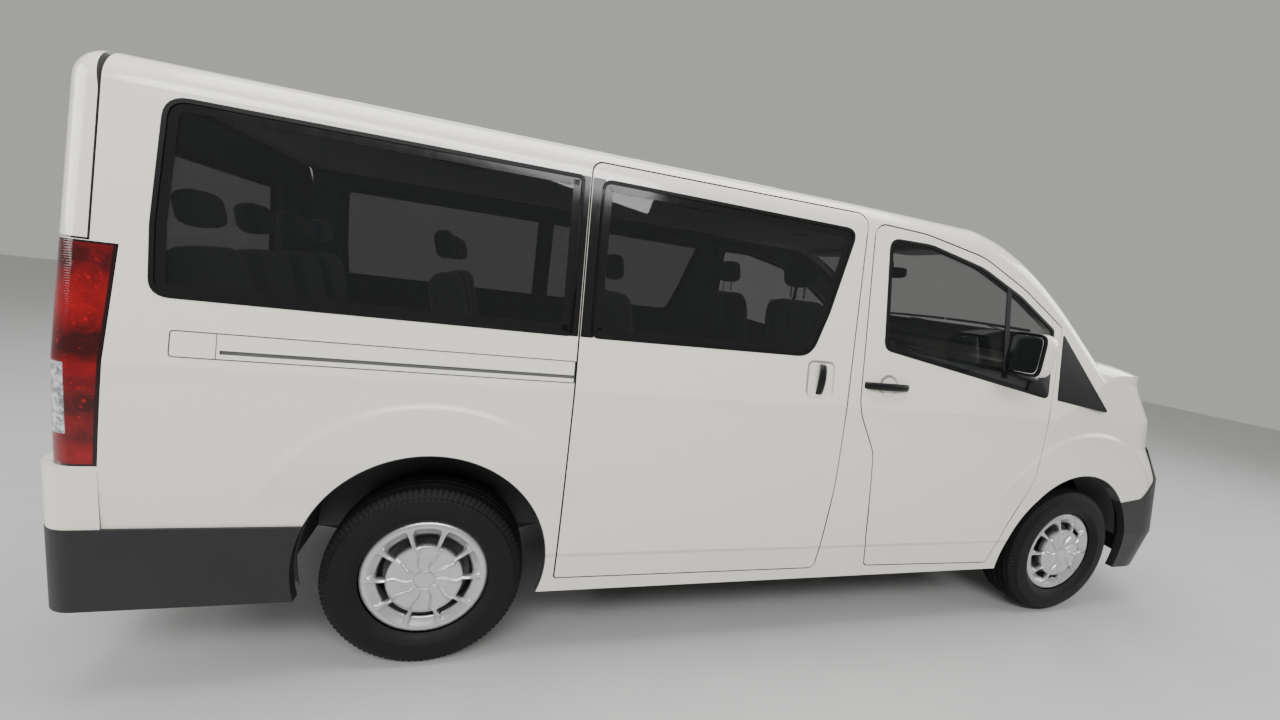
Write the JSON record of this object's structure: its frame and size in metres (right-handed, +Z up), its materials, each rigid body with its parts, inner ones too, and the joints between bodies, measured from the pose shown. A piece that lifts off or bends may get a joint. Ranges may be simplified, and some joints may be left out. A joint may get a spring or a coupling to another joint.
{
  "type": "passenger van",
  "caption": "Semi-bonneted passenger van with rows of seats, hinged front doors, tailgate and bonnet, steered front wheels and a fixed sliding door.",
  "frame": {"origin": "on the ground, at the centre of the bounding box seen from above", "axes": "+X to the front, +Y to the left side of the van, +Z up"},
  "size_m": [5.265, 2.319, 1.9889],
  "materials": {
    "paint_white": "gloss",
    "dark_plastic": "textured",
    "tinted_glass": "polished",
    "clear_glass": "polished",
    "lamp_clear": "polished",
    "lamp_red": "polished",
    "cabin_plastic": "satin",
    "floor_steel": "satin",
    "axle_steel": "painted black",
    "seat_fabric": "woven",
    "tyre": "matte",
    "wheel_silver": "silver paint"
  },
  "bodies": {
    "body": {"body_side_right": "paint_white", "body_side_left": "paint_white", "roof_panel": "paint_white", "front_wings": "paint_white", "rear_bumper": "paint_white", "rail_cover": "paint_white", "sliding_door": "paint_white", "front_bumper": "dark_plastic", "rear_cladding": "dark_plastic", "grille": "dark_plastic", "cowl_panel": "dark_plastic", "sliding_handle": "dark_plastic", "side_windows": "tinted_glass", "windscreen": "clear_glass", "headlamps": "lamp_clear", "tail_lamps": "lamp_red", "dashboard": "cabin_plastic", "wheel_liners": "cabin_plastic", "floor_pan": "floor_steel", "chassis_frame": "floor_steel", "seat_frames": "floor_steel", "rear_axle": "axle_steel", "leaf_springs": "axle_steel", "front_suspension": "axle_steel", "engine_block": "axle_steel", "fuel_tank": "axle_steel", "exhaust": "axle_steel", "front_seats": "seat_fabric", "rear_seats": "seat_fabric", "spare_wheel": "tyre"},
    "right_door": {"front_door_right": "paint_white", "door_window_right": "clear_glass", "mirror_right": "dark_plastic", "handle_right": "dark_plastic"},
    "left_door": {"front_door_left": "paint_white", "door_window_left": "clear_glass", "mirror_left": "dark_plastic", "handle_left": "dark_plastic"},
    "rear_gate": {"tailgate": "paint_white", "tailgate_window": "tinted_glass"},
    "front_lid": {"bonnet": "paint_white"},
    "right_steering_knuckle": {"knuckle_right": "axle_steel"},
    "left_steering_knuckle": {"knuckle_left": "axle_steel"},
    "front_right_wheel": {"tyre_front_right": "tyre", "wheel_front_right": "wheel_silver"},
    "front_left_wheel": {"tyre_front_left": "tyre", "wheel_front_left": "wheel_silver"},
    "rear_right_wheel": {"tyre_rear_right": "tyre", "wheel_rear_right": "wheel_silver"},
    "rear_left_wheel": {"tyre_rear_left": "tyre", "wheel_rear_left": "wheel_silver"},
    "hand_wheel": {"steering_wheel": "cabin_plastic"}
  },
  "joints": [
    {"name": "right_door_hinge", "type": "hinge", "parent": "body", "child": "right_door", "pos_m": [1.268, -0.977, 1], "axis": [0, 0, 1], "range_deg": [0, 65]},
    {"name": "left_door_hinge", "type": "hinge", "parent": "body", "child": "left_door", "pos_m": [1.268, 0.977, 1], "axis": [0, 0, -1], "range_deg": [0, 65]},
    {"name": "tailgate_hinge", "type": "hinge", "parent": "body", "child": "rear_gate", "pos_m": [-2.457, 0, 1.9895], "axis": [0, 1, 0], "range_deg": [0, 85]},
    {"name": "bonnet_hinge", "type": "hinge", "parent": "body", "child": "front_lid", "pos_m": [1.64, 0, 1.412], "axis": [0, -1, 0], "range_deg": [0, 50]},
    {"name": "left_steer", "type": "hinge", "parent": "body", "child": "left_steering_knuckle", "pos_m": [1.6975, 0.76, 0.35], "axis": [0, 0, 1], "range_deg": [-35, 35]},
    {"name": "right_steer", "type": "hinge", "parent": "body", "child": "right_steering_knuckle", "pos_m": [1.6975, -0.76, 0.35], "axis": [0, 0, 1], "range_deg": [-35, 35]},
    {"name": "steering_wheel_turn", "type": "hinge", "parent": "body", "child": "hand_wheel", "pos_m": [0.955, 0.4, 1.165], "axis": [-0.788, 0, 0.6157], "range_deg": [-525, 525]},
    {"name": "front_right_roll", "type": "hinge", "parent": "right_steering_knuckle", "child": "front_right_wheel", "pos_m": [1.6975, -0.83, 0.35], "axis": [0, 1, 0], "continuous": true},
    {"name": "front_left_roll", "type": "hinge", "parent": "left_steering_knuckle", "child": "front_left_wheel", "pos_m": [1.6975, 0.83, 0.35], "axis": [0, 1, 0], "continuous": true},
    {"name": "rear_right_roll", "type": "hinge", "parent": "body", "child": "rear_right_wheel", "pos_m": [-1.5125, -0.83, 0.35], "axis": [0, 1, 0], "continuous": true},
    {"name": "rear_left_roll", "type": "hinge", "parent": "body", "child": "rear_left_wheel", "pos_m": [-1.5125, 0.83, 0.35], "axis": [0, 1, 0], "continuous": true}
  ],
  "couplings": [
    {"joint": "right_steer", "follows": "left_steer", "ratio": 1},
    {"joint": "steering_wheel_turn", "follows": "left_steer", "ratio": 15}
  ]
}
